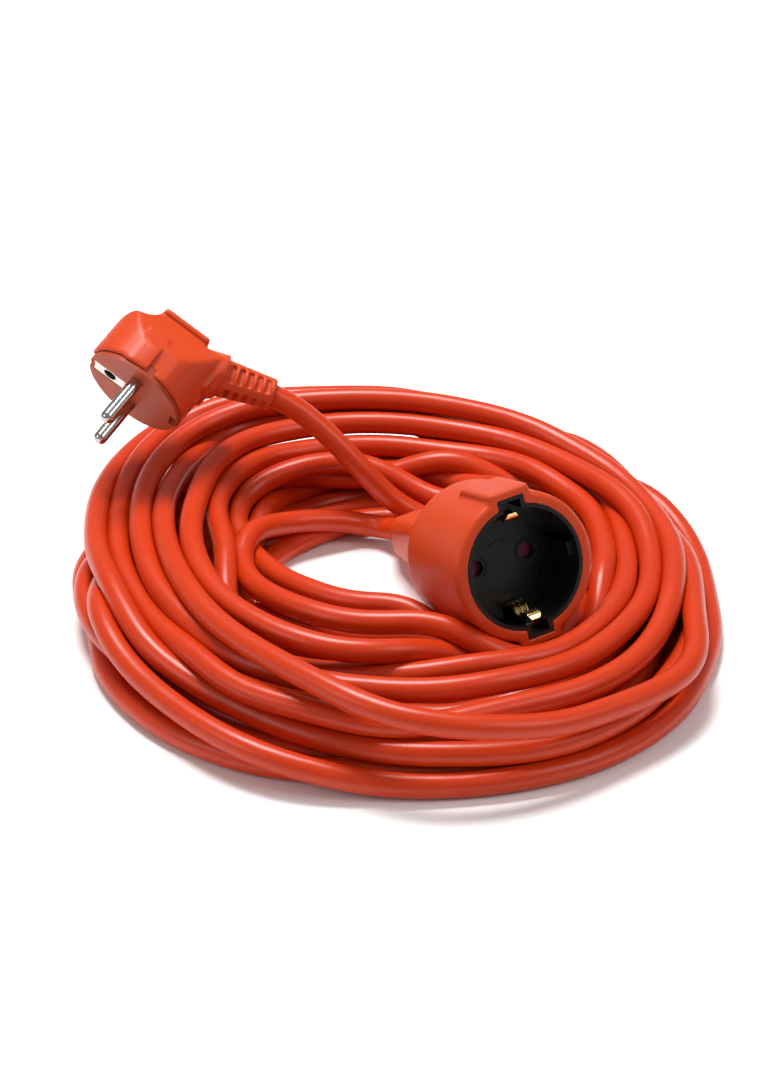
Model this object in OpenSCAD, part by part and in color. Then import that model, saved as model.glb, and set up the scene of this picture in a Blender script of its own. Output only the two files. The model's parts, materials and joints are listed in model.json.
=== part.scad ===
// Extension cord: one loose coil of round three-core cable, an angled plug
// with two round pins, and an in-line socket with a round well.

/* [Cord] */
// Outside diameter of the sheath
cord_d = 8; // [6:0.1:12]
// Diameter of each insulated core
core_d = 2.6; // [2:0.1:4]
// Outer radius of the coil
coil_outer_r = 107; // [90:1:130]
// Inner radius of the coil at the bottom
coil_inner_r = 58; // [40:1:75]
// Height of the coil
coil_h = 34; // [16:1:60]

/* [Plug] */
// Radius of a plug pin
pin_r = 2.4; // [2:0.05:2.5]
// Length of a plug pin in front of the face
pin_len = 19; // [18:0.5:20]
// Distance between the two pins
pin_pitch = 19; // [18:0.5:20]
// Radius of the round face
face_r = 18.4; // [17:0.1:20]
// Radius of the body above the face
body_r = 19.6; // [18.5:0.1:23]
// Height of the body from the face to the top of the flange
body_h = 30; // [26:0.5:40]
// Bore of the earth hole in the face
earth_hole_r = 2.45; // [2.4:0.01:2.6]

/* [Socket] */
// Outer radius of the shell
shell_r = 24.5; // [23:0.1:28]
// Length of the round part of the shell
shell_len = 40; // [34:0.5:60]
// Inner radius of the well
well_r = 19.4; // [19.3:0.05:20]
// Depth of the well
well_depth = 17.5; // [17:0.1:19]
// Outer radius of the black insert
insert_r = 20.6; // [20.3:0.1:22]
// Radius of a pin hole
hole_r = 2.8; // [2.5:0.05:3.2]
// Height of the wings above the axis
wing_y = 26.3; // [25:0.1:30]

/* [Part] */
// Which part to draw: all or one name

/* [Hidden] */
$fn = 64;
e = 0.01;
hp = pin_pitch / 2;
cr = cord_d / 2;
kr = core_d / 2;
// placing of the two ends
plug_pos = [-89, 51, 59];
plug_rot = [-61, 30, -22];
socket_pos = [43, -35.5, 41.5];
socket_rot = [69.5, -4.5, 28.5];
// slope of the plug's sleeve and where its axis starts
sleeve_tilt = 20;
sleeve_at = [12, 0, 21.5];
sleeve_len = 28;

orange = [0.80, 0.22, 0.10];
dull_orange = [0.55, 0.15, 0.10];
black = [0.05, 0.05, 0.05];
maroon = [0.36, 0.08, 0.12];
nickel = [0.75, 0.74, 0.72];
brass = [0.80, 0.62, 0.28];
copper = [0.80, 0.45, 0.30];

module at_plug() { translate(plug_pos) rotate(plug_rot) children(); }
module at_socket() { translate(socket_pos) rotate(socket_rot) children(); }
module at_sleeve() { translate(sleeve_at) rotate([0, 90 - sleeve_tilt, 0]) children(); }

// straight round bar from a to b
module rod(a, b, r) {
  d = b - a;
  translate(a) rotate([0, acos(d[2] / norm(d)), atan2(d[1], d[0])]) cylinder(r = r, h = norm(d));
}
// hollow for a bar with one bend
module bent_hollow(a, b, c, r) { rod(a, b, r); rod(b, c, r); translate(b) sphere(r = r * 1.15, $fn = 32); }

// ---- plug, in its own frame: pins point down, the cord leaves towards +X ----

// side outline, X to the right and Z up
function plug_side() = [[-21, 1.2], [-21, 15], [-19, 19], [-16, 20.5], [-14, 21.2], [-11.5, 22.8],
  [-9.5, 25], [-8, 27.6], [-8, body_h], [10.5, body_h], [10.5, 27], [20, 27.5], [20, 14.5], [19, 13.5], [19, 1.2]];
// front outline, Y to the right and Z up
function plug_front() = [[-20, 1.2], [-20, 9], [-11.5, 24], [-9, 25.6], [-8.5, 26], [-8.5, 27.2], [-9.8, 27.6],
  [-9.8, body_h], [9.8, body_h], [9.8, 27.6], [8.5, 27.2], [8.5, 26], [9, 25.6], [11.5, 24], [20, 9], [20, 1.2]];

module carrier_block(g = 0) {
  cylinder(r = face_r + g, h = 4 + g, $fn = 96);
  translate([-11 - g, -13.5 - g, 0]) cube([20 + 2 * g, 27 + 2 * g, 13 + g]);
}
module pin_back(s, g = 0) {
  translate([0, s * hp, 0]) {
    translate([0, 0, 3]) cylinder(r = 3.3 + g, h = 2 + g);
    translate([0, 0, -1]) cylinder(r = pin_r - 0.3 + g, h = 14.5);
    translate([0, 0, 13]) cylinder(r = 2 + g, h = 6 + g);
  }
}
module plug_pin(s) {
  difference() {
    union() {
      pin_back(s);
      translate([0, s * hp, 2.4 - pin_len]) {
        cylinder(r = pin_r, h = pin_len - 3);
        sphere(r = pin_r, $fn = 48);
      }
    }
    translate([0, s * hp, 13.6]) cylinder(r = 1, h = 6);
  }
}
// folded earth strap: plate with the hole, arms over both sides and a bridge
module earth_strap(g = 0) {
  // plate in the face, with the sleeve behind it
  translate([-16.6 - g, -2.6 - g, 1 - g]) cube([13.6 + 2 * g, 5.2 + 2 * g, 0.9 + 2 * g]);
  // side arms
  translate([-17.4 - g, -2.6 - g, 1 - g]) cube([0.9 + 2 * g, 5.2 + 2 * g, 12.4 + 2 * g]);
  translate([15.6 - g, -2.6 - g, 1 - g]) cube([0.9 + 2 * g, 5.2 + 2 * g, 12.4 + 2 * g]);
  // bridge behind the carrier
  translate([-17.4 - g, -2.6 - g, 13.2 - g]) cube([33.9 + 2 * g, 5.2 + 2 * g, 0.9 + 2 * g]);
}
module earth_crimp(g = 0) {
  translate([4, 0, 14]) cylinder(r = 2 + g, h = 4.5 + g);
}

module plug_overmould() {
  color(orange) at_plug() difference() {
    union() {
      intersection() {
        rotate([90, 0, 0]) linear_extrude(44, center = true) polygon(plug_side());
        rotate([90, 0, 90]) linear_extrude(60, center = true) polygon(plug_front());
        union() {
          cylinder(r = body_r, h = 40, $fn = 96);
          translate([0, -8.5, 13.5]) cube([20, 17, 14]);
        }
      }
      intersection() {
        at_sleeve() translate([0, 0, 3]) cylinder(r = 8.2, h = 7);
        translate([0, -15, 12]) cube([22, 30, 20]);
      }
    }
    carrier_block(0.02);
    for (s = [-1, 1]) pin_back(s, 0.05);
    earth_strap(0.05);
    earth_crimp(0.05);
    // room for the sleeve behind the earth hole
    translate([-10, 0, 0]) cylinder(r = 3.25, h = 12.6);
    plug_core_hollows();
    at_sleeve() translate([0, 0, 2.95]) cylinder(r = 7.05, h = 40);
    // open notches at the two side contacts
    translate([-25, -3, 0]) cube([8.4, 6, 9]);
    translate([16.5, -3, 0]) cube([8.4, 6, 9]);
  }
}
module plug_pin_carrier() {
  color(dull_orange) at_plug() difference() {
    carrier_block();
    for (s = [-1, 1]) pin_back(s, 0.02);
    earth_strap(0.05);
    // pocket over the plate, and the way into the earth hole
    translate([-17.5, -3, -1]) cube([15, 6, 2.2]);
    translate([-10, 0, 0]) cylinder(r = 3.25, h = 12.6);
    // notches at the two side contacts
    translate([-25, -3, -1]) cube([8.4, 6, 10]);
    translate([16.5, -3, -1]) cube([8.4, 6, 10]);
    translate([15.5, -3, -1]) cube([4, 6, 3]);
  }
}
module plug_pin_live() { color(nickel) at_plug() plug_pin(1); }
module plug_pin_neutral() { color(nickel) at_plug() plug_pin(-1); }
module plug_earth_contact() {
  color(nickel) at_plug() difference() {
    union() {
      earth_strap();
      translate([-10, 0, 1]) cylinder(r = 3.2, h = 11);
      translate([4, 0, 14]) cylinder(r = 2, h = 4.5);
    }
    translate([-10, 0, 0]) cylinder(r = earth_hole_r, h = 11);
    translate([4, 0, 14.6]) cylinder(r = 1, h = 6);
  }
}
module plug_strain_relief() {
  color(orange) at_plug() at_sleeve() difference() {
    union() {
      translate([0, 0, 3]) cylinder(r = 7, h = 5);
      translate([0, 0, 8]) cylinder(r1 = 7, r2 = 5.3, h = sleeve_len - 8);
    }
    translate([0, 0, 4.5]) cylinder(r = cr + 0.02, h = sleeve_len);
    translate([0, 0, 2]) cylinder(r1 = 5.2, r2 = 3.6, h = 2.7);
    // five slots on each of the four sides
    for (i = [0:4], a = [0:90:270])
      rotate([0, 0, a]) translate([4.4, -2.4, 11.6 + 3.2 * i]) cube([5, 4.8, 1.6]);
  }
}

// the three cores between the plug's crimps and its sleeve
function plug_core_pts(i) = [
  [[0, 9.5, 19.6], [0.6, 9.2, 20.8], [4, 7.5, 21.4], [10, 4.6, 22.2], [13.5, 2.9, 22.8], [16.2, 1.9, 23.4]],
  [[0, -9.5, 19.6], [0.6, -9.2, 20.8], [4, -7.5, 21.4], [10, -4.6, 22.2], [13.5, -2.9, 22.8], [16.2, -1.9, 23.4]],
  [[4, 0, 19.1], [4.3, 0, 20], [6.5, 0, 20.5], [13.5, 0, 20.7], [16.6, 0, 21.1]]][i];
module plug_core(i) { tube(plug_core_pts(i), 2, kr, 10, [0, 1, 0.3]); }
module plug_core_hollows() {
  for (i = [0, 1]) bent_hollow([0, 9.5 - 19 * i, 18.5], [0.5, 9.3 - 18.6 * i, 20.9], [16.4, 1.6 - 3.2 * i, 23.3], 2);
  bent_hollow([4, 0, 18.2], [4.4, 0, 20.2], [17, 0, 21], 1.9);
}

// ---- socket, in its own frame: the well opens towards +Z ----

// turned outline of the shell's round part
module shell_round() {
  rotate_extrude($fn = 96) union() {
    translate([0, -shell_len + 4]) square([shell_r, shell_len - 4]);
    translate([0, -shell_len]) square([shell_r - 4, 6]);
    translate([shell_r - 4, -shell_len + 4]) circle(r = 4, $fn = 48);
  }
}
// neck with flat sides, narrowing towards the cord
module shell_neck() {
  intersection() {
    rotate([90, 0, 90]) linear_extrude(60, center = true)
      polygon([[-13.5, -36], [13.5, -36], [8.6, -84], [6.6, -88], [-6.6, -88], [-8.6, -84]]);
    rotate([90, 0, 0]) linear_extrude(60, center = true)
      polygon([[-15, -36], [15, -36], [8.6, -84], [6.6, -88], [-6.6, -88], [-8.6, -84]]);
    rotate([0, 0, 45]) rotate([90, 0, 0]) linear_extrude(60, center = true)
      polygon([[-17, -36], [17, -36], [9.8, -88], [-9.8, -88]]);
    rotate([0, 0, 45]) rotate([90, 0, 90]) linear_extrude(60, center = true)
      polygon([[-17, -36], [17, -36], [9.8, -88], [-9.8, -88]]);
  }
}
module wing(s) {
  // flat-topped block, shorter at the back
  intersection() {
    translate([0, s * 20, 0]) rotate([90, 0, 90]) linear_extrude(16, center = true)
      polygon([[-6, 0], [6.3, 0], [6.3, 0 - 20.5], [3, -23], [-6, -23]] * [[s, 0], [0, 1]]);
    translate([0, 0, -12]) cube([15, 80, 40], center = true);
  }
}
module key_liner(g = 0, w = 9.4, y = 23.3, z = 9) {
  for (s = [-1, 1]) translate([0, s * (18 + (y + g - 18) / 2), -z / 2 - g / 2])
    cube([w + 2 * g, y + g - 18, z + g], center = true);
}
module ring(r1, r2, z1, z2) {
  translate([0, 0, z1]) difference() {
    cylinder(r = r2, h = z2 - z1, $fn = 96);
    translate([0, 0, -1]) cylinder(r = r1, h = z2 - z1 + 2, $fn = 96);
  }
}
module coupler_shell() {
  color(orange) at_socket() difference() {
    union() { shell_round(); shell_neck(); wing(1); wing(-1); }
    translate([0, 0, -38.6]) cylinder(r = insert_r + 0.02, h = 42, $fn = 96);
    for (s = [-1, 1]) translate([0, s * 20.66, -4]) cube([9.44, 5.32, 10.04], center = true);
    // hollow for the crimps and cores, and the seat of the sleeve
    translate([0, 0, -43]) cube([24, 8, 10], center = true);
    translate([0, 0, -62]) cylinder(r = 6.5, h = 30);
    translate([0, 0, -60]) cylinder(r1 = 4, r2 = 12, h = 16);
    translate([0, 0, -90]) cylinder(r = 5.8, h = 30);
  }
}
module coupler_insert() {
  color(black) at_socket() difference() {
    union() {
      ring(well_r, insert_r, -36, 0);
      translate([0, 0, -well_depth - 2.6]) cylinder(r = insert_r, h = 2.6, $fn = 96);
      key_liner();
      // guide ribs
      for (s = [-1, 1]) translate([s * 18.6, 0, -10.5]) cube([2.6, 4.6, 15], center = true);
      // post that the shutter turns on
      translate([0, 0, -27.2]) cylinder(r = 2, h = 8);
    }
    // the well, clear of the liners
    translate([0, 0, -well_depth]) difference() {
      cylinder(r = well_r, h = 30, $fn = 96);
      for (s = [-1, 1]) translate([s * 18.6, 0, 7]) cube([2.6, 4.6, 15], center = true);
    }
    for (s = [-1, 1]) {
      translate([s * hp, 0, -25]) cylinder(r = hole_r, h = 10);
      // key slots and the windows of the earth clips
      translate([0, s * 20.3, -3.6]) cube([6.6, 4, 7.4], center = true);
      translate([0, s * 18.4, -25]) cube([7.4, 6.2, 40], center = true);
    }
  }
}
// plate with two lobes that cover the pin holes
module coupler_shutter() {
  color(maroon) at_socket() difference() {
    union() {
      translate([0, 0, -22.6]) intersection() {
        cylinder(r = 13.6, h = 1.8);
        linear_extrude(2) for (s = [-1, 1]) polygon([[0, 0], [s * 16, s * -6.2], [s * 16, s * 6.2]]);
      }
      translate([0, 0, -24.4]) cylinder(r = 4.6, h = 3.6);
    }
    translate([0, 0, -30]) cylinder(r = 2.06, h = 12);
  }
}
// coiled wire with two legs
spring_pts = concat([[3.1, 8, -25.1]], [for (a = [0:30:1080]) [3.1 * cos(a), 3.1 * sin(a), -25.1 - 0.62 * a / 360]], [[3.1, 8.5, -27]]);
module shutter_spring() { color(nickel) at_socket() tube(spring_pts, 1, 0.25, 8, [0, 0, 1]); }
module contact_seat(s, g = 0) {
  translate([s * hp, 0, -38 - g]) cylinder(r = 3.5 + g, h = 13 + 2 * g);
}
module coupler_contact_carrier() {
  color([0.12, 0.12, 0.12]) at_socket() difference() {
    translate([0, 0, -38.4]) cylinder(r = 19.2, h = 15);
    // room for the shutter's hub and spring
    translate([0, 0, -27.8]) cylinder(r = 5, h = 6);
    translate([0, 0, -27.8]) linear_extrude(7) polygon([[-4.6, 0], [4.6, 0], [4.6, 10], [-4.6, 10]]);
    for (s = [-1, 1]) {
      contact_seat(s, 0.05);
      translate([s * hp, 0, -43]) cylinder(r = 2.2, h = 8);
      translate([0, s * 18.4, -32]) cube([8, 6.6, 20], center = true);
    }
    // seat of the earth bridge
    translate([0, 0, -37.9]) cube([6.2, 40, 1.2], center = true);
  }
}
module coupler_contact(s) {
  color(brass) at_socket() difference() {
    union() {
      contact_seat(s);
      translate([s * hp, 0, -44.5]) cylinder(r = 1.9, h = 8);
    }
    translate([s * hp, 0, -37]) cylinder(r = 2.45, h = 14);
    translate([s * hp, 0, -45]) cylinder(r = 1, h = 5.6);
    for (a = [0, 90]) translate([s * hp, 0, -27]) rotate([0, 0, a]) cube([8, 0.7, 10], center = true);
  }
}
module coupler_live_contact() { coupler_contact(1); }
module coupler_neutral_contact() { coupler_contact(-1); }

// spring clip: flat arm, bowed into the well near its top, with a curled tip
clip_line = [[18.8, -36.4], [18.8, -23], [18.3, -17.5], [16.9, -12.6], [16.4, -10], [16.7, -7.6], [17.8, -5.4], [19, -4.3], [20, -4.5]];
function beside(q, i, h) = let (t = unit(q[min(i + 1, len(q) - 1)] - q[max(i - 1, 0)])) q[i] + h * [-t[1], t[0]];
function ribbon(q, h) = concat([for (i = [0:len(q) - 1]) beside(q, i, h)], [for (i = [len(q) - 1:-1:0]) beside(q, i, -h)]);
module clip(s) {
  color(brass) at_socket() rotate([0, 0, s == 1 ? 0 : 180])
    union() {
      rotate([90, 0, 90]) linear_extrude(5.4, center = true) polygon(ribbon(clip_line, 0.3));
      translate([0, 18.8, -36.4]) rotate([0, 90, 0]) cylinder(r = 0.6, h = 5.4, center = true);
    }
}
module earth_clip_upper() { clip(1); }
module earth_clip_lower() { clip(-1); }
module earth_bridge() {
  color(brass) at_socket() difference() {
    union() {
      translate([0, 0, -37.9]) cube([6, 38.2, 0.9], center = true);
      translate([0, 0, -44.5]) cylinder(r = 1.9, h = 6.5);
    }
    translate([0, 0, -45]) cylinder(r = 1, h = 5.6);
  }
}
module coupler_strain_relief() {
  color(orange) at_socket() difference() {
    union() {
      translate([0, 0, -88.1]) cylinder(r = 5.75, h = 22);
      translate([0, 0, -90.2]) cylinder(r1 = 6, r2 = 6.6, h = 2.15);
      translate([0, 0, -92]) cylinder(r1 = 5.2, r2 = 5.6, h = 2);
    }
    translate([0, 0, -93]) cylinder(r = cr + 0.02, h = 24);
    translate([0, 0, -70]) cylinder(r = 3.6, h = 10);
  }
}
function socket_core_pts(i) = [
  [[9.5, 0, -45], [9.3, 0, -46.4], [6.4, -0.3, -50], [2.2, -0.6, -56], [1.6, -0.6, -62], [1.6, -0.6, -69.6]],
  [[-9.5, 0, -45], [-9.3, 0, -46.4], [-6.4, -0.3, -50], [-2.2, -0.6, -56], [-1.6, -0.6, -62], [-1.6, -0.6, -69.6]],
  [[0, 0, -45], [0, 0.3, -47], [0, 1.6, -51], [0, 2.2, -56], [0, 2.1, -62], [0, 2.1, -69.6]]][i];
module socket_core(i) { tube(socket_core_pts(i), 2, kr, 10, [0, 1, 0.3]); }
module core(i) {
  at_plug() plug_core(i);
  at_socket() socket_core(i);
}
module core_brown() { color([0.30, 0.15, 0.07]) core(0); }
module core_blue() { color([0.10, 0.25, 0.60]) core(1); }
module core_green_yellow() { color([0.45, 0.65, 0.15]) core(2); }
module copper_strands() {
  color(copper) {
    at_plug() for (p = [[0, hp, 13.7], [0, -hp, 13.7], [4, 0, 14.7]]) translate(p) cylinder(r = 0.95, h = 3.8);
    at_socket() for (p = [[hp, 0, -44.4], [-hp, 0, -44.4], [0, 0, -44.4]]) translate(p) cylinder(r = 0.95, h = 4.5);
  }
}

// ---- cord ----

// one round coil, cut back where the socket's shell lies in it
module cord_coil() {
  color(orange) difference() {
    rotate_extrude($fn = 128) union() {
      polygon([[coil_inner_r, cr], [coil_inner_r + cr, 0], [coil_outer_r - cr, 0], [coil_outer_r, cr],
        [coil_outer_r, coil_h - 14], [coil_outer_r - 4, coil_h - cr], [coil_outer_r - 8, coil_h],
        [coil_inner_r + 14, coil_h], [coil_inner_r + 8, coil_h - 6], [coil_inner_r, 16]]);
    }
    at_socket() translate([0, 0, -70]) cylinder(r = shell_r + 0.8, h = 85);
    at_socket() translate([-9, -30, -30]) cube([18, 60, 42]);
  }
}

// smooth path through the route points
function cr_pt(a, b, c, d, t) = 0.5 * ((2 * b) + (c - a) * t + (2 * a - 5 * b + 4 * c - d) * t * t
  + (3 * b - a - 3 * c + d) * t * t * t);
function route(p, k) = [for (i = [0:len(p) - 2], j = [0:k - 1])
    cr_pt(p[max(i - 1, 0)], p[i], p[i + 1], p[min(i + 2, len(p) - 1)], j / k), p[len(p) - 1]];
function unit(v) = v / norm(v);
function tangent(q, i) = unit(q[min(i + 1, len(q) - 1)] - q[max(i - 1, 0)]);
function ring_pts(c, t, r, n, up) =
  let (a = unit(cross(t, up)), b = cross(a, t))
  [for (j = [0:n - 1]) c + r * (cos(360 * j / n) * a + sin(360 * j / n) * b)];
module tube(p, k, r, n, up = [0, 0, 1]) {
  q = route(p, k);
  m = len(q);
  pts = [for (i = [0:m - 1]) each ring_pts(q[i], tangent(q, i), r, n, up)];
  faces = concat(
    [[for (j = [0:n - 1]) j]],
    [for (i = [0:m - 2], j = [0:n - 1]) [i * n + j, (i + 1) * n + j, (i + 1) * n + (j + 1) % n, i * n + (j + 1) % n]],
    [[for (j = [n - 1:-1:0]) (m - 1) * n + j]]);
  polyhedron(points = pts, faces = faces, convexity = 6);
}

plug_route = [[-62.8, 62.3, 60.4], [-52.4, 61.7, 56.8], [-41, 61, 52.9], [-31, 60, 46.5], [-18, 56.5, 35], [-8, 54, 24],
  [2, 53.5, 13], [14, 52, 7.5], [28, 47, 7], [46, 38, 9], [60, 26, 12]];
socket_route = [[13.4, 23, 17.1], [8.8, 32.2, 13.2], [4.1, 41.4, 9.4], [-3, 49.5, 6.2], [-14, 53, 5.2], [-26, 53, 5.6], [-38, 49, 6.8],
  [-47, 41, 8.8], [-51, 29, 11], [-51, 14, 14], [-48, -2, 17], [-45, -20, 20], [-54, -40, 24]];

module cord_plug_lead() { color(orange) tube(plug_route, 2, cr, 12); }
module cord_coupler_lead() { color(orange) tube(socket_route, 2, cr, 12); }

plug_overmould();
plug_pin_carrier();
plug_pin_live();
plug_pin_neutral();
plug_earth_contact();
plug_strain_relief();
coupler_shell();
coupler_insert();
coupler_shutter();
shutter_spring();
coupler_contact_carrier();
coupler_live_contact();
coupler_neutral_contact();
earth_clip_upper();
earth_clip_lower();
earth_bridge();
coupler_strain_relief();
core_brown();
core_blue();
core_green_yellow();
copper_strands();
cord_coil();
cord_plug_lead();
cord_coupler_lead();
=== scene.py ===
# Extension cord: one loose coil of round cable, an angled plug and an in-line socket.
import json, math
import numpy as np
import bpy
from mathutils import Matrix, Vector

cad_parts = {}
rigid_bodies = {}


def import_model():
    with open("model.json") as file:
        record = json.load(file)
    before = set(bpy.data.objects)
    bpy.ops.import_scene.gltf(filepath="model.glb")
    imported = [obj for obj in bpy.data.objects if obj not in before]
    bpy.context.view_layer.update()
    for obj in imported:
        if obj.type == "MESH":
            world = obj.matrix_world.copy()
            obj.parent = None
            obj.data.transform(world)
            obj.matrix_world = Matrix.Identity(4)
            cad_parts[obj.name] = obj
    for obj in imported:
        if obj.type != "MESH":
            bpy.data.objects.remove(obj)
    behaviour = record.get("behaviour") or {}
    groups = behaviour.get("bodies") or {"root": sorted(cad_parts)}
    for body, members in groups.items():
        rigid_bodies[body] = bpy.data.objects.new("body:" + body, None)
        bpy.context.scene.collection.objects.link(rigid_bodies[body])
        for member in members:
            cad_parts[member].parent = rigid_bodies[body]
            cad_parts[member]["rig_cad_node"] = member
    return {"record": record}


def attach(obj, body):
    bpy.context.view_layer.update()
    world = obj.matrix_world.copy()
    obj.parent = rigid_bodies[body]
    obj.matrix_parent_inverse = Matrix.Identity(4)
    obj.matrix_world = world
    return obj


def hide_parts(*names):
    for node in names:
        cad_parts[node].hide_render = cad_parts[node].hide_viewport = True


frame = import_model()
REC = frame["record"]


def log_size():
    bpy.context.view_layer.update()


log_size()
ROOT = "cord_and_ends"
MM = 0.001

# ---------------------------------------------------------------- camera
F_PX, DIST, EL = 2655.0, 900.0, math.radians(30.7)
AX = np.array([1.0, 0.0, 0.0])
FW = np.array([0.0, math.cos(EL), -math.sin(EL)])
UP = np.array([0.0, math.sin(EL), math.cos(EL)])
CAM = -FW * DIST + UP * (84.0 * DIST / F_PX) + AX * (0.5 * DIST / F_PX)
scene = bpy.context.scene
cam_data = bpy.data.cameras.new("camera")
cam = bpy.data.objects.new("camera", cam_data)
scene.collection.objects.link(cam)
cam.location = Vector(CAM * MM)
cam.rotation_euler = (math.pi / 2 - EL, 0, 0)
cam_data.sensor_fit = "VERTICAL"
cam_data.sensor_height = 24.0
cam_data.sensor_width = 24.0 * 784 / 1066
cam_data.lens = F_PX / 1066 * 24.0
cam_data.clip_start, cam_data.clip_end = 0.02, 30
scene.camera = cam


# ---------------------------------------------------------------- frames of the two ends (mm)
def rotm(a, b, c):
    a, b, c = np.radians([a, b, c])
    rx = np.array([[1, 0, 0], [0, np.cos(a), -np.sin(a)], [0, np.sin(a), np.cos(a)]])
    ry = np.array([[np.cos(b), 0, np.sin(b)], [0, 1, 0], [-np.sin(b), 0, np.cos(b)]])
    rz = np.array([[np.cos(c), -np.sin(c), 0], [np.sin(c), np.cos(c), 0], [0, 0, 1]])
    return rz @ ry @ rx


SR, SP = rotm(69.5, -4.5, 28.5), np.array([43, -35.5, 41.5])
PR, PP = rotm(-61, 30, -22), np.array([-89, 51, 59.0])


def ray(px, py):
    r = FW + (px - 392) / F_PX * AX - (py - 533) / F_PX * UP
    return r / np.linalg.norm(r)


def at_z(px, py, z):
    r = ray(px, py)
    return CAM + r * ((z - CAM[2]) / r[2])


# route: (px,py,z) seen points, or ("w",x,y,z) points out of sight
def hid(L,Fr,R,B,z,s=0.74):
    zl,zf,zr,zb=(z,)*4 if not hasattr(z,'__len__') else z
    return [("w",L*s,B*s*1.0,(zl+zb)/2),("w",L,8,zl),("w",L*s,Fr*s,(zl+zf)/2),("w",0,Fr,zf),("w",R*s,Fr*s,(zr+zf)/2),("w",R,0,zr),("w",R*s,B*s,(zr+zb)/2),("w",0,B,zb)]
W="w"
ROUTE=[]
R=ROUTE
R+=[(W,13.4,23,17.1),(W,8.8,32.2,13.2),(W,4.1,41.4,9.4),(W,-3,49.5,6.2),(W,-14,53,5.2),(W,-26,53,5.6),(290,522.5,7),(262,529,8.8),(243,545,12),(240,560,14.5),(247,577,17),(270,597,20),(300,608,22.5),(340,620,24),(380,624.5,25),(440,622,22),
    (W,38,-52,12.5),(W,56,-46,10.5),(W,68,-20,10),(W,71,5,9),(W,66,30,9),(W,52,54,9),
    (445,506,9),(430,499,10.5),(400,480,13.5),(375,467,15.5),(340,462,16.5),(292,471,16),(262,482,15),(243,497,13),(235,515,11),(240,532,10),(248,547,10),(262,563,11),(280,578,13),(310,590,15),(340,600,16.5),(366,607,17.5),(414,602,16),
    (W,22,-31,12),(W,38,-42,9),(W,54,-38,8),(W,63,-14,11),(W,64,12,12),(W,57,34,12.5),(W,43,50,13),
    (480,483,13),(440,476,13),(400,470,11),(370,471,8.5),(340,480,6.5),(300,496,5),(268,507,5),(W,-54,28,6),(W,-60,4,8),(W,-57,-16,10),
    (262,612,13),(300,626,13),(340,637,13),(380,641,13),(440,638,10),(W,40,-48,6),(W,54,-40,6),(W,62,-14,4),(W,62,12,4),(W,48,36,4),(W,26,49,4),(W,0,53,4)]
R+=hid(-57,-30,72,64,4)+hid(-65,-43,80,72,4)+hid(-73,-56,76,80,(4,4,11,5))+hid(-81,-69,84,87,(4,4,11,5))+hid(-89,-80,92,84,(4,4,11,11))
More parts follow.
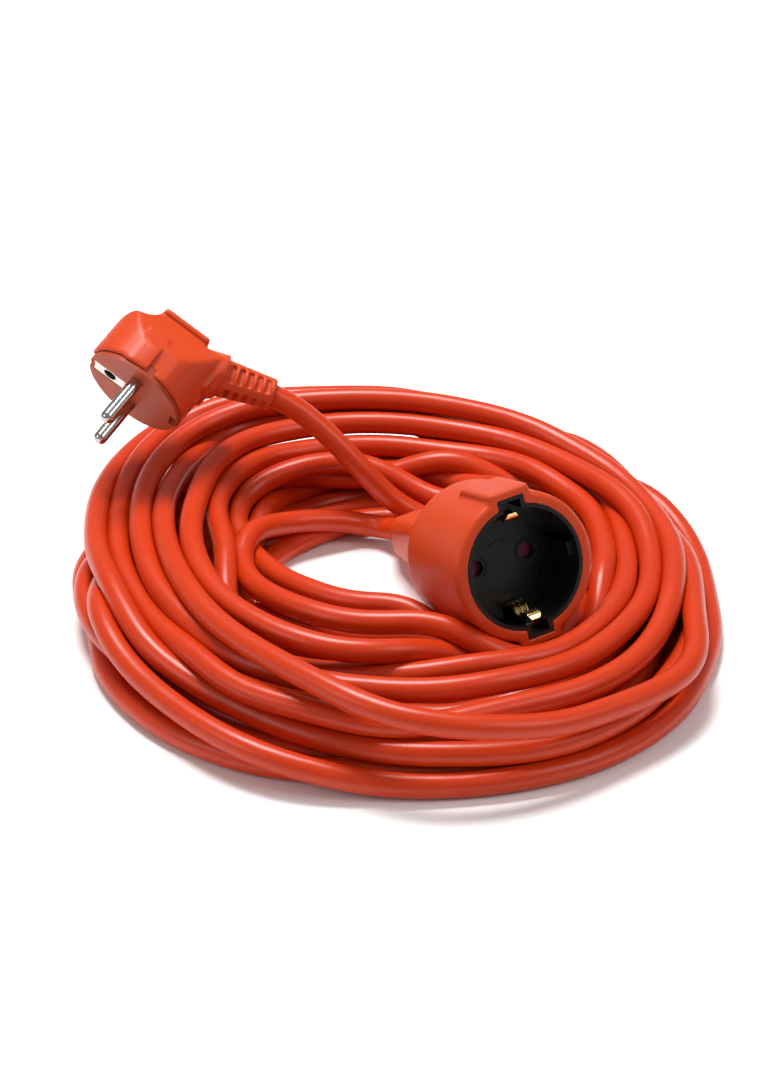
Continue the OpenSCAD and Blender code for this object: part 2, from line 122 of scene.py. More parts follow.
R+=[(W,-70,68,8),(W,-96,35,9),(88,575,10),(90,600,9.5),(97,630,8),(110,652,6),(W,-60,-66,4),(W,0,-88,4),(W,55,-70,4),(W,88,-10,4),(W,84,35,4),(W,60,70,4),(W,0,94,4),
    (W,-60,80,4),(W,-98,40,4),(W,-104,10,4),(95,620,4),(100,645,4),(111,674,4),(129,699,4),(156,722,4),(204,747,4),(252,762,4),(285,769,4),(W,0,-95,4),(W,50,-86,4),(W,82,-50,4),(W,96,0,4),(W,90,45,4),(W,64,78,4),(W,20,101,4),
    (W,-20,100,8),(W,-60,82,10),(W,-90,45,13),(W,-99,22,16),(98,600,16.5),(112,642,15),(128,664,14),(150,687,13),(170,703,12.5),(200,724,12),(230,741,12),(260,754,11.5),(290,765,10),(340,777,5.5),(380,784.5,4),(440,786,4),(500,781,4),(560,770,4),(600,757,4),(640,737,4),(680,708,4),(693,685,4),
    (W,104,-20,4),(W,104,12,4),(W,94,46,5),(W,68,80,8),(W,22,94,14),(400,411,17),(340,411,19),(300,413,20),(260,420,20),(224,435,20.5),(196,454,21),(175,480,23),(164,505,25),(164,530,26),(173,565,27),(193,600,28),(230,632,29),(265,655,30),(290,668,30.5),(340,694,31),(380,712,30),(400,717,29.5),(460,727,27),(520,727,24),(560,725,22),(600,712,20),(640,698,19),(660,689,18.5),(680,678,18),(695,660,18),(697,640,18),(694,620,18),(690,600,18),(687,565,18),
    (672,540,14),(655,520,12),(622,481,12.5),(596,464,13),(560,447,13),(500,425,13),(450,413,13),(400,407,13),(340,405,13.5),(290,405,14),(235,411,15.5),(178,423,17),(148,440,18.5),(122,463,20),(104,495,21.5),(97,527,22),(98,560,22),(115,600,21),(137,628,19.5),(157,650,18),(178,668,15.5),(218,695,14),(247,711,13),(290,729,12),(340,744,12),(380,751,12),(440,754,12),(500,753,11.5),(560,745,10.5),(600,731,9),
    (640,709,9),(W,91,-42,10),(W,98,-8,9),(W,95,25,6),(647,524,4.5),(608,482,7),(575,458,12),(540,438,17),(500,423,21),(450,409,23),(400,403,23),(340,402,23),(290,403,23),(250,403,23.5),(232,403,24),(205,412,24),(180,424,23),(150,447,22),(127,478,21),(118.7,505,20.5),(116.5,530,20),(118,560,20),(127,580,20),(141,600,20),(170,633,20),(200,660,20),(240,690,20),(290,704,20.5),(340,718,20),(380,726,19.5),(420,727,19),(450,722,18.5),(500,709,19),(560,697,19),(600,682,18.5),(640,656,18),(672,600,18),(675,560,18.5),(657,520,19.5),(620,478,22),(600,464,24),(560,443,27),(520,425,29),(500,419,30),(450,406,31),(400,400,31),(370,399,31),(330,400,30.5),(290,403,30),(262,405,29.5),(240,410,29),(215,420,28),(192,432,27),(165,455,26),(148,480,25),(142,505,25),
    (140,530,25),(150,568,25),(166,600,24.5),(205,641,23),(250,664,22),(290,676,22),(340,686,22),(380,689,22.5),(440,691,24),(500,681,24),(560,668,22.5),(600,648,21.5),(646,600,20),(652,560,20),(637,520,20.5),(605,487,21.5),(583,473,22.5),(560,461,23),(520,445,24),(500,439,24),(450,429.5,24.5),(400,423,24.5),(370,422,24.5),(340,423,25),(300,428,26),(255,438,27),(222,455,28),(205,480,28),(195,505,28),(190,530,28),(200,568,27.5),(223,600,27),(250,618,27),(290,637,27),(340,650,26.5),(380,654,26),(440,651,20),(466,648,16.5),
    (W,42,-50,9.5),(W,58,-41,9),(W,68,-24,11),(597,596,16),(604,560,17),(598,520,17),(575,497,17),(545,478,17),(520,463,17),(450,454,17.5),(400,446,18),(370,445.5,18.5),(340,446,19),(310,450,20),(280,455,20.5),(250,464,21.5),(225,483,22),(215,505,22),(219,530,21.5),(230,548,20.5),
    (W,-54,-25,17),(W,-42,-46,17),(W,-24,-58,18),(380,673,19),(440,671,19),(500,661,19),(526,662,19),(560,651,18.5),(592,631,18),(617,600,17.5),(626,560,18),(618,520,18),(600,492,18),
    (W,56,72,17),(W,30,80,16),(W,-10,80,14),(W,-50,62,12),(W,-70,28,11),(W,-70,-5,11),(W,-56,-42,11),(W,-28,-66,11),(W,8,-70,11),(W,40,-64,10),(W,66,-44,10),(W,78,-12,11),(W,74,12,12),
    (W,60,26,12),(W,46,38,9),(W,28,47,7),(W,14,52,7.5),(W,2,53.5,13),(W,-8,54,24),(W,-18,56.5,35),(W,-31,60,46.5),(W,-41,61,52.9),(W,-52.4,61.7,56.8),(W,-62.8,62.3,60.4)]


def spline(P,w,step):
    """centripetal Catmull-Rom through P, resampled at an even step; w is carried along"""
    P=np.vstack([2*P[0]-P[1],P,2*P[-1]-P[-2]]); w=np.r_[w[0],w,w[-1]]
    out=[];ow=[]
    for i in range(1,len(P)-2):
        p0,p1,p2,p3=P[i-1:i+3]
        t0=0;t1=t0+np.linalg.norm(p1-p0)**.5;t2=t1+np.linalg.norm(p2-p1)**.5;t3=t2+np.linalg.norm(p3-p2)**.5
        n=max(2,int(np.linalg.norm(p2-p1)/1.5))
        t=np.linspace(t1,t2,n,endpoint=False)[:,None]
        A1=(t1-t)/(t1-t0)*p0+(t-t0)/(t1-t0)*p1;A2=(t2-t)/(t2-t1)*p1+(t-t1)/(t2-t1)*p2;A3=(t3-t)/(t3-t2)*p2+(t-t2)/(t3-t2)*p3
        B1=(t2-t)/(t2-t0)*A1+(t-t0)/(t2-t0)*A2;B2=(t3-t)/(t3-t1)*A2+(t-t1)/(t3-t1)*A3
        out.append((t2-t)/(t2-t1)*B1+(t-t1)/(t2-t1)*B2)
        ow.append(w[i]*(t2-t[:,0])/(t2-t1)+w[i+1]*(t[:,0]-t1)/(t2-t1))
    Q=np.vstack(out+[P[-2:-1]]);ow=np.r_[np.concatenate(ow),w[-2]]
    s=np.r_[0,np.cumsum(np.linalg.norm(np.diff(Q,axis=0),axis=1))]
    n=int(round(s[-1]/step))+1; u=np.linspace(0,s[-1],n)
    return np.stack([np.interp(u,s,Q[:,k]) for k in range(3)],1),np.interp(u,s,ow)
def pairs(x,r,skip):
    n=len(x); c=np.floor(x/r).astype(int); c-=c.min(0)
    dims=c.max(0)+3
    key=lambda c:((c[:,0]+1)*dims[1]+(c[:,1]+1))*dims[2]+(c[:,2]+1)
    k=key(c); o=np.argsort(k,kind='stable'); ks=k[o]
    I=[];J=[]
    for dx in (-1,0,1):
        for dy in (-1,0,1):
            for dz in (-1,0,1):
                kk=key(c+[dx,dy,dz])
                a=np.searchsorted(ks,kk,'left'); b=np.searchsorted(ks,kk,'right')
                m=b-a; 
                i=np.repeat(np.arange(n),m)
                off=np.arange(m.sum())-np.repeat(np.cumsum(m)-m,m)
                j=o[np.repeat(a,m)+off]
                s=j>i+skip
                i=i[s];j=j[s]
                d=x[i]-x[j]; s=(d*d).sum(1)<r*r
                I.append(i[s]);J.append(j[s])
    return np.concatenate(I),np.concatenate(J)
def lay(step=5.0,its=520,dia=8.0,verbose=False):
    P=[];w=[];k=[]
    for q in ROUTE:
        if q[0]=="w": P.append(q[1:]); w.append(0.0)
        else: P.append(at_z(*q)); w.append(1.0)
    P=np.array(P,float)
    x,w=spline(P,np.array(w),step)
    n=len(x)
    rays=x-CAM; rays/=np.linalg.norm(rays,axis=1)[:,None]
    home=x.copy()
    seen=np.clip((w-0.5)*2,0,1)
    # fixed ends
    fix=np.zeros(n,bool); fix[:9]=True; fix[-21:]=True
    inv=np.where(fix,0.0,1.0); near0=np.arange(n)<14
    T=np.array([SP,PP])
    for it in range(its):
        late=it>its*0.75
        if it%6==0: I,J=pairs(x,dia+5,int(2.4*dia/step)); 
        # rays
        d=x-CAM; foot=CAM+rays*(d*rays).sum(1)[:,None]
        x+=((foot-x)*((0.10 if late else 0.3)*seen)[:,None])*inv[:,None]
        # keeps to the first guess
        kz=np.where(seen>0,0.02,0.004)*(0.3 if late else 1)
        x+=(home-x)*(kz*inv)[:,None]
        if not late: x[:,2]-=np.where(seen>0.5,0.03,0.10)*inv
        # bending
        b=np.zeros_like(x)
        b[2:-2]=(-x[:-4]+4*x[1:-3]+4*x[3:-1]-x[4:])/6-x[2:-2]
        x+=b*(0.7*inv)[:,None]
        lap=np.zeros_like(x); lap[1:-1]=(x[:-2]+x[2:])/2-x[1:-1]
        dl=np.zeros_like(x); dl[1:-1]=(lap[:-2]+lap[2:])/2-lap[1:-1]
        x-=dl*(0.5*inv)[:,None]
        # spacing
        e=x[1:]-x[:-1]; l=np.linalg.norm(e,axis=1); m=l.mean()
        f=e*((l-m)/l*0.25)[:,None]
        x[:-1]+=f*inv[:-1,None]; x[1:]-=f*inv[1:,None]
        for sub in range(3):
            d=x[I]-x[J]; l=np.sqrt((d*d).sum(1))+1e-9
            over=dia+0.12-l; s=over>0
            i,j,dd=I[s],J[s],d[s]/l[s,None]*(over[s,None]*0.5)
            acc=np.zeros_like(x); cnt=np.zeros(n)
            for a in range(3):
                acc[:,a]+=np.bincount(i,dd[:,a],n)-np.bincount(j,dd[:,a],n)
            cnt+=np.bincount(i,minlength=n)+np.bincount(j,minlength=n)
            x+=acc/np.maximum(1,cnt*0.6)[:,None]*inv[:,None]
            # floor
            x[:,2]=np.where((x[:,2]<dia/2)&~fix,dia/2,x[:,2])
            # socket: round part and neck
            L=(x-SP)@SR; r=np.hypot(L[:,0],L[:,1])+1e-9
            lim=np.where(L[:,2]>-40,24.5,np.interp(-L[:,2],[40,42,84,92],[24.0,16.5,9.6,7.0]))+dia/2+0.2
            inside=(r<lim)&(L[:,2]<4.2)&(L[:,2]>-93)&~fix&~near0
            # leave by the mouth plane if that is nearer
            out=lim-r; front=4.2-L[:,2]
            g=inside&(front<out)
            L[g,2]+=front[g]*0.7
            h=inside&~g
            L[h,:2]*=(1+(out[h]/r[h]*0.7))[:,None]
            ch=inside
            x[ch]=(L@SR.T+SP)[ch]
            # wings of the socket
            L=(x-SP)@SR; m=dia/2+0.3
            for s_ in (-1,):
                Y=L[:,1]*s_
                ox=7.5+m-np.abs(L[:,0]); oy=26.3+m-Y; oz=L[:,2]+23+m; of_=0.4+m-L[:,2]
                ins=(ox>0)&(oy>0)&(oz>0)&(of_>0)&(Y>15)&~fix&~near0
                y_=ins&(oy<=ox)&(oy<=oz)&(oy<=of_)
                L[y_,1]+=s_*oy[y_]*0.3
                z_=ins&~y_&(oz<=ox)&(oz<=of_)
                L[z_,2]-=oz[z_]*0.3
                f_=ins&~y_&~z_&(of_<=ox)
                L[f_,2]+=of_[f_]*0.3
                x_=ins&~y_&~z_&~f_
                L[x_,0]+=np.sign(L[x_,0])*ox[x_]*0.3
                x[ins]=(L@SR.T+SP)[ins]
            # plug body
            L=(x-PP)@PR; r=np.hypot(L[:,0],L[:,1])+1e-9
            ins=(r<20.5+dia/2)&(L[:,2]>-4.2)&(L[:,2]<24)&~fix
            face=ins&(L[:,2]+4.2<20.5+dia/2-r)
            L[face,2]-=(L[face,2]+4.2)*0.7
            hh=ins&~face
            L[hh,:2]*=(1+((20.5+dia/2-r[hh])/r[hh]*0.7))[:,None]
            x[ins]=(L@PR.T+PP)[ins]
            x[:,0]=np.clip(x[:,0],-107,107); x[:,1]=np.where(fix,x[:,1],np.clip(x[:,1],-106,106))
        # no tight bends
        if it>its*0.4:
            for rep_ in range(3):
                lap=np.zeros_like(x); lap[1:-1]=(x[:-2]+x[2:])/2-x[1:-1]
                cv=np.sqrt((lap*lap).sum(1))*2/(step*step)
                m_=np.clip((cv-1/22)*60,0,1); m_=np.maximum(m_,np.maximum(np.roll(m_,1),np.roll(m_,-1))*0.8)
                x+=lap*(0.55*m_*inv)[:,None]
            x[:,2]=np.where((x[:,2]<dia/2)&~fix,dia/2,x[:,2])
    return x,seen

# ---------------------------------------------------------------- solid modelling by distance fields (mm)
def smin(a, b, k):
    h = np.clip(0.5 + 0.5 * (b - a) / k, 0, 1)
    return b * (1 - h) + a * h - k * h * (1 - h)


def smax(a, b, k):
    return -smin(-a, -b, k)


def d_box(p, c, h, r=0.0):
    q = np.abs(p - np.asarray(c, np.float32)) - (np.asarray(h, np.float32) - r)
    return np.linalg.norm(np.maximum(q, 0), axis=-1) + np.minimum(q.max(-1), 0) - r


def d_rz(rad, z, r, z0, z1, f=0.0):
    """cylinder about Z from its radius and height fields, with an edge round f"""
    a = rad - (r - f)
    b = np.abs(z - (z0 + z1) / 2) - ((z1 - z0) / 2 - f)
    return np.minimum(np.maximum(a, b), 0) + np.hypot(np.maximum(a, 0), np.maximum(b, 0)) - f


def d_seg(p, a, b, ra, rb=None):
    """round bar from a to b, with two end radii"""
    a, b = np.asarray(a, np.float32), np.asarray(b, np.float32)
    rb = ra if rb is None else rb
    ab = b - a
    t = np.clip(((p - a) @ ab) / (ab @ ab), 0, 1)
    return np.linalg.norm(p - a - t[..., None] * ab, axis=-1) - (ra + (rb - ra) * t)


def d_poly(x, y, pts):
    """signed distance to a closed outline"""
    pts = np.asarray(pts, np.float32)
    d = np.full(x.shape, 1e9, np.float32)
    s = np.ones(x.shape, np.float32)
    n = len(pts)
    for i in range(n):
        a, b = pts[i], pts[i - 1]
        e = b - a
        wx, wy = x - a[0], y - a[1]
        t = np.clip((wx * e[0] + wy * e[1]) / (e @ e), 0, 1)
        d = np.minimum(d, (wx - e[0] * t) ** 2 + (wy - e[1] * t) ** 2)
        c1, c2, c3 = y >= a[1], y < b[1], e[0] * wy > e[1] * wx
        flip = (c1 & c2 & c3) | (~c1 & ~c2 & ~c3)
        s = np.where(flip, -s, s)
    return s * np.sqrt(d)


def curve_pts(pts, n=6):
    """smooth open line through points, for outlines"""
    p = np.asarray(pts, float)
    p = np.vstack([2 * p[0] - p[1], p, 2 * p[-1] - p[-2]])
    out = []
    for i in range(1, len(p) - 2):
        for t in np.linspace(0, 1, n, endpoint=False):
            a, b, c, d = p[i - 1 : i + 3]
            out.append(0.5 * (2 * b + (c - a) * t + (2 * a - 5 * b + 4 * c - d) * t * t + (3 * b - a - 3 * c + d) * t**3))
    out.append(p[-2])
    return [tuple(q) for q in out]


def blur(v, sigma):
    """rounds every edge of the field by about sigma grid steps"""
    r = max(1, int(math.ceil(2.5 * sigma)))
    w = np.exp(-0.5 * (np.arange(-r, r + 1) / sigma) ** 2)
    w = (w / w.sum()).astype(np.float32)
    for k in range(3):
        m = np.moveaxis(v, k, 0)
        pad = np.concatenate([np.repeat(m[:1], r, 0), m, np.repeat(m[-1:], r, 0)])
        out = np.zeros_like(m)
        for i, a in enumerate(w):
            out += a * pad[i : i + m.shape[0]]
        v = np.moveaxis(out, 0, k)
    return np.ascontiguousarray(v)


def nets(fn, cut, lo, hi, h, edge):
    """surface nets over the field fn with its edges rounded by edge, less the field cut"""
    lo, hi = np.asarray(lo, float), np.asarray(hi, float)
    n = np.ceil((hi - lo) / h).astype(int) + 1
    ax = [(lo[k] + h * np.arange(n[k])).astype(np.float32) for k in range(3)]
    v = np.empty(tuple(n), np.float32)
    step = max(1, int(400000 / (n[1] * n[2])))
    gy, gz = np.meshgrid(ax[1], ax[2], indexing="ij")
    for i in range(0, n[0], step):
        xs = ax[0][i : i + step]
        p = np.empty((len(xs), n[1], n[2], 3), np.float32)
        p[..., 0] = xs[:, None, None]
        p[..., 1] = gy
        p[..., 2] = gz
        v[i : i + step] = fn(p)
    v = blur(v, edge / h)
    for i in range(0, n[0], step):
        xs = ax[0][i : i + step]
        p = np.empty((len(xs), n[1], n[2], 3), np.float32)
        p[..., 0] = xs[:, None, None]
        p[..., 1] = gy
        p[..., 2] = gz
        v[i : i + step] = np.maximum(v[i : i + step], -cut(p))
    s = v < 0
    c = [s[i : n[0] - 1 + i, j : n[1] - 1 + j, k : n[2] - 1 + k] for i in (0, 1) for j in (0, 1) for k in (0, 1)]
    tot = sum(q.astype(np.int8) for q in c)
    act = (tot > 0) & (tot < 8)
    cell = np.argwhere(act)
    idx = -np.ones(act.shape, np.int32)
    idx[act] = np.arange(len(cell))
    acc = np.zeros((len(cell), 3))
    cnt = np.zeros(len(cell))
    corners = [(i, j, k) for i in (0, 1) for j in (0, 1) for k in (0, 1)]
    val = [v[cell[:, 0] + i, cell[:, 1] + j, cell[:, 2] + k] for i, j, k in corners]
    for a in range(8):
        for b in range(a + 1, 8):
            ca, cb = np.array(corners[a]), np.array(corners[b])
            if np.abs(ca - cb).sum() != 1:
                continue
            m = (val[a] < 0) != (val[b] < 0)
            t = val[a][m] / (val[a][m] - val[b][m])
            acc[m] += ca + (cb - ca) * t[:, None]
            cnt[m] += 1
    pos = lo + h * (cell + acc / cnt[:, None])
    faces = []
    for k in range(3):
        u, w = (k + 1) % 3, (k + 2) % 3
        sl = [slice(1, -1)] * 3
        a = [slice(1, n[q] - 1) for q in range(3)]
        b = list(a)
        a[k] = slice(0, n[k] - 1)
        b[k] = slice(1, n[k])
        sa, sb = s[tuple(a)], s[tuple(b)]
        e = np.argwhere(sa != sb)
        base = e.copy()
        for q in range(3):
            if q != k:
                base[:, q] += 1
        du, dw = np.eye(3, dtype=int)[u], np.eye(3, dtype=int)[w]
        quad = [idx[tuple((base - du - dw).T)], idx[tuple((base - dw).T)], idx[tuple(base.T)], idx[tuple((base - du).T)]]
        quad = np.stack(quad, 1)
        inside = sa[tuple(e.T)]
        quad[~inside] = quad[~inside][:, ::-1]
        faces.append(quad)
    faces = np.vstack(faces)
    return pos, faces


def add_mesh(name, pts_mm, faces, rot=None, pos=None, smooth=True):
    p = np.asarray(pts_mm, float)
    if rot is not None:
        p = p @ rot.T + pos
    p = p * MM
    me = bpy.data.meshes.new(name)
    faces = np.asarray(faces)
    me.vertices.add(len(p))
    me.vertices.foreach_set("co", p.astype(np.float32).ravel())
    me.loops.add(faces.size)
    me.loops.foreach_set("vertex_index", faces.astype(np.int32).ravel())
    me.polygons.add(len(faces))
    me.polygons.foreach_set("loop_start", np.arange(0, faces.size, faces.shape[1], dtype=np.int32))
    me.polygons.foreach_set("loop_total", np.full(len(faces), faces.shape[1], np.int32))
    me.update(calc_edges=True)
    me.validate()
    if smooth:
        me.polygons.foreach_set("use_smooth", np.ones(len(me.polygons), bool))
    ob = bpy.data.objects.new(name, me)
    scene.collection.objects.link(ob)
    return ob



H = 0.42

# ---------------------------------------------------------------- plug body, in the plug's frame
HP = 9.5
PLUG_SIDE = [(-21, 1.2), (-21, 12)] + curve_pts([(-20.6, 14), (-19.4, 18.2), (-17.2, 20.6)], 4) + curve_pts(
    [(-16.2, 20.9), (-13.6, 21.6), (-11.0, 23.6), (-9.4, 26.2), (-8.6, 28.6)], 5) + [(-8.2, 30), (10.5, 30), (10.5, 27), (20, 27.5), (20, 14.5), (19, 13.5), (19, 1.2)]
PLUG_FRONT_H = [(20, 1.2), (20, 9)] + curve_pts([(18.4, 12.0), (14.9, 17.6), (12.0, 22.0), (10.2, 24.6), (9.2, 26.0)], 5) + [(8.8, 26.8), (8.8, 27.3), (9.8, 27.6), (9.8, 30)]
PLUG_FRONT = [(-a, b) for a, b in PLUG_FRONT_H] + [(a, b) for a, b in PLUG_FRONT_H[::-1]]
TILT = math.radians(20)
SL_AT = np.array([12, 0, 21.5])
SL_X = np.array([math.cos(TILT), 0, math.sin(TILT)])


def sleeve_coords(p):
    q = p - SL_AT.astype(np.float32)
    l = q @ SL_X.astype(np.float32)
    up = q @ np.array([-math.sin(TILT), 0, math.cos(TILT)], np.float32)
    return l, q[..., 1], up


def plug_field(p):
    x, y, z = p[..., 0], p[..., 1], p[..., 2]
    rad = np.hypot(x, y)
    core = np.minimum(d_rz(rad, z, 19.6, -4, 40), d_box(p, (12, 0, 20.5), (8, 8.5, 7)))
    d = smax(smax(d_poly(x, z, PLUG_SIDE), d_poly(y, z, PLUG_FRONT), 1.6), core, 1.0)
    # flat panels on both flanks: one stands out, the next is sunk
    ay = np.abs(y)
    sunk = d_box(np.stack([x, ay, z], -1), (6.1, 23.1, 6.0), (4.9, 5.0, 11.6))
    d = np.maximum(d, -sunk)
    panel = d_box(np.stack([x, ay, z], -1), (-3.2, 12.0, 9.4), (4.4, 7.15, 8.1))
    panel = np.maximum(panel, (ay - 19.3) * 0.93 + (z - 9.0) * 0.36 * (z > 9.0))
    panel = np.maximum(panel, np.hypot(x, y) - 19.7)
    d = np.minimum(d, panel)
    l, sy, su = sleeve_coords(p)
    sl = d_rz(np.hypot(sy, su), l, 8.2, 3, 10)
    d = smin(d, np.maximum(sl, x - 22), 2.5)
    return d


def plug_cut(p):
    x, y, z = p[..., 0], p[..., 1], p[..., 2]
    rad = np.hypot(x, y)
    c = d_rz(rad, z, 18.45, -9, 4.02)
    c = np.minimum(c, d_box(p, (-1, 0, 4), (10.05, 13.55, 9.05)))
    for s in (-1, 1):
        r = np.hypot(x, y - s * HP)
        c = np.minimum(c, d_rz(r, z, 2.5, 10, 13.6))
        c = np.minimum(c, d_rz(r, z, 2.05, 12, 19.2))
    for sx in (-20.8, 20.7):
        c = np.minimum(c, d_box(p, (sx, 0, 4.5), (4.2, 3, 4.5)))
    c = np.minimum(c, d_box(p, (-0.4, 0, 13.6), (17.05, 2.7, 0.55)))
    c = np.minimum(c, d_rz(np.hypot(x + 10, y), z, 3.25, 0, 12.6))
    c = np.minimum(c, d_rz(np.hypot(x - 4, y), z, 2.05, 13, 18.6))
    for s in (-1, 1):
        pts = [(0, s * 9.5, 18.5), (0.5, s * 9.3, 20.9), (16, s * 1.6, 23)]
        c = np.minimum(c, d_seg(p, pts[0], pts[1], 1.9))
        c = np.minimum(c, d_seg(p, pts[1], pts[2], 1.9))
    c = np.minimum(c, d_seg(p, (4, 0, 18), (4.4, 0, 19.7), 1.9))
    c = np.minimum(c, d_seg(p, (4.4, 0, 19.7), (17, 0, 20.9), 1.9))
    l, sy, su = sleeve_coords(p)
    return np.minimum(c, d_rz(np.hypot(sy, su), l, 7.05, 2.95, 60))


v, f = nets(plug_field, plug_cut, (-23, -23, -0.5), (24, 23, 33), H, 0.36)
plug_body = add_mesh("plug_body", v, f, PR, PP)
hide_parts("plug_overmould")
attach(plug_body, ROOT)


# plug sleeve, along +Z from the plug, seen in its own frame
def sleeve_field(p):
    x, y, z = p[..., 0], p[..., 1], p[..., 2]
    rad = np.hypot(x, y)
    prof = [(0, 3), (7, 3), (7, 8)] + [(np.interp(q, [8, 28], [7.0, 5.5]), q) for q in (12, 20, 27.4)] + [(5.0, 28), (0, 28)]
    d = d_poly(rad, z, prof)
    # windows between the ribs
    for i in range(5):
        z0 = 12.0 + 3.3 * i
        for a in range(4):
            c, s = [(1, 0), (0, 1), (-1, 0), (0, -1)][a]
            q = np.stack([x * c + y * s, -x * s + y * c, z], -1)
            d = np.maximum(d, -d_box(q, (7.4, 0, z0), (2.9, 3.3 - 0.2 * i, 0.95), 0.2))
    return d


def sleeve_cut(p):
    rad, z = np.hypot(p[..., 0], p[..., 1]), p[..., 2]
    return np.minimum(d_rz(rad, z, 4.02, 4.5, 40), d_rz(rad, z, 3.4, 0, 5))


v, f = nets(sleeve_field, sleeve_cut, (-8, -8, 2), (8, 8, 29.5), H * 0.7, 0.22)
# the sleeve's frame: its Z is the cord's way out, its Y the plug's Y
SF = np.stack([np.array([math.sin(TILT), 0, -math.cos(TILT)]), np.array([0, 1, 0]), SL_X], 1)
SF[:, 0] = np.cross(SF[:, 1], SF[:, 2])
v = v @ SF.T + SL_AT
plug_sleeve = add_mesh("plug_sleeve", v, f, PR, PP)
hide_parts("plug_strain_relief")
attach(plug_sleeve, ROOT)


# ---------------------------------------------------------------- socket shell, in the socket's frame
def shell_field(p):
    x, y, z = p[..., 0], p[..., 1], p[..., 2]
    rad = np.hypot(x, y)
    prof = [(0, -40), (19.5, -40)] + [(20.6 + 3.9 * math.sin(a), -36.1 - 3.9 * math.cos(a)) for a in np.linspace(0.1, 1.5, 6)] + [(24.55, -30), (24.55, -0.9), (23.6, 0), (0, 0)]
    d = d_poly(rad, z, prof)
    # neck: rounded square that narrows, with a collar and steps
    hw = np.interp(z, [-88, -84, -46, -43, -36], [6.8, 8.4, 12.6, 13.6, 14.8]).astype(np.float32)
    q = np.maximum(np.abs(x) - (hw - 4.5), np.abs(y) - (hw - 5.2))
    qq = np.hypot(np.maximum(np.abs(x) - (hw - 4.5), 0), np.maximum(np.abs(y) - (hw - 5.2), 0)) + np.minimum(q, 0) - 4.5
    neck = np.maximum(qq, np.maximum(-88 - z, z + 30))
    for zc in (-50, -54.5, -59, -63.5, -68, -72.5, -77, -81.5):
        groove = np.maximum(np.abs(z - zc) - 0.75, -(qq + 0.85))
        side = np.where(np.abs(y) > np.abs(x) * 0.62, 1.0, -9.0)
        neck = np.maximum(neck, np.minimum(-groove, 9) * 1.0 if False else np.where(side > 0, np.maximum(neck, -groove), neck))
    d = smin(d, neck, 1.2)
    # wings over the key ways
    for s in (-1, 1):
        prof = [(-10, 0), (26.3, 0), (26.3, -20.2), (24.6, -21.8), (20, -23), (-10, -23)]
        w = np.maximum(d_poly(s * y, z, prof), np.abs(x) - 7.5)
        w = np.maximum(w, -s * y)
        d = smin(d, w, 0.5)
    return d


def shell_cut(p):
    x, y, z = p[..., 0], p[..., 1], p[..., 2]
    rad = np.hypot(x, y)
    c = d_rz(rad, z, 20.62, -38.6, 9)
    for s in (-1, 1):
        c = np.minimum(c, d_box(p, (0, s * 20.66, -4 + 5), (4.72, 2.66, 10.02)))
    c = np.minimum(c, d_box(p, (0, 0, -43), (12, 4, 5)))
    c = np.minimum(c, d_rz(rad, z, 6.5, -62, -32))
    return np.minimum(c, d_rz(rad, z, 5.8, -90, -60))


v, f = nets(shell_field, shell_cut, (-26, -28, -89.5), (26, 28, 1.5), H * 1.12, 0.6)
shell = add_mesh("socket_shell", v, f, SR, SP)
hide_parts("coupler_shell")
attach(shell, ROOT)
# the inside of the shell lies in the dark insert's colour
cen = np.zeros(len(shell.data.polygons) * 3, np.float32)
shell.data.polygons.foreach_get("center", cen)
cen = cen.reshape(-1, 3) / MM
loc = (cen - SP) @ SR
INNER = ((np.hypot(loc[:, 0], loc[:, 1]) < 21.2) & (loc[:, 2] < -0.9) & (loc[:, 2] > -39.2)).astype(np.int32)


# ---------------------------------------------------------------- earth plate of the plug
def strap_field(p):
    x, y, z = p[..., 0], p[..., 1], p[..., 2]
    d = d_box(p, (-10.0, 0, 0.62), (6.6, 2.85, 0.42), 0.12)
    # raised lips along the plate and a step round the hole
    for s in (-1, 1):
        d = np.minimum(d, d_box(p, (-10.0, s * 2.45, 0.45), (6.5, 0.4, 0.4), 0.1))
        d = np.minimum(d, d_box(p, (-10 + s * 5.4, 0, 0.5), (1.0, 2.5, 0.5), 0.1))
    d = np.minimum(d, np.maximum(np.hypot(x + 10, y) - 3.2, np.abs(z - 6.1) - 5.9))
    d = np.minimum(d, d_box(p, (-16.95, 0, 7.2), (0.45, 2.6, 6.2), 0.1))
    d = np.minimum(d, d_box(p, (16.05, 0, 7.2), (0.45, 2.6, 6.2), 0.1))
    d = np.minimum(d, d_box(p, (-0.45, 0, 13.65), (16.95, 2.6, 0.45), 0.1))
    return np.minimum(d, d_rz(np.hypot(x - 4, y), z, 2.0, 14, 18.5, 0.1))


def strap_cut(p):
    x, y, z = p[..., 0], p[..., 1], p[..., 2]
    c = d_rz(np.hypot(x + 10, y), z, 2.4, -3, 11)
    return np.minimum(c, d_rz(np.hypot(x - 4, y), z, 1.0, 14.6, 20))


v, f = nets(strap_field, strap_cut, (-18.2, -3.6, -0.8), (17.4, 3.6, 19.4), 0.26, 0.08)
strap = add_mesh("plug_earth_strap", v, f, PR, PP)
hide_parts("plug_earth_contact")
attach(strap, ROOT)


# ---------------------------------------------------------------- earth clips of the socket
CLIP = [(18.8, -36.4), (18.8, -30), (18.8, -24), (18.1, -20), (16.0, -17.2), (14.4, -15.2), (14.1, -13.4), (15.0, -11.4), (17.0, -9.6), (17.7, -8.0), (17.0, -6.3),
        (15.9, -4.9), (15.6, -3.6), (16.4, -2.2), (18.0, -1.5)]


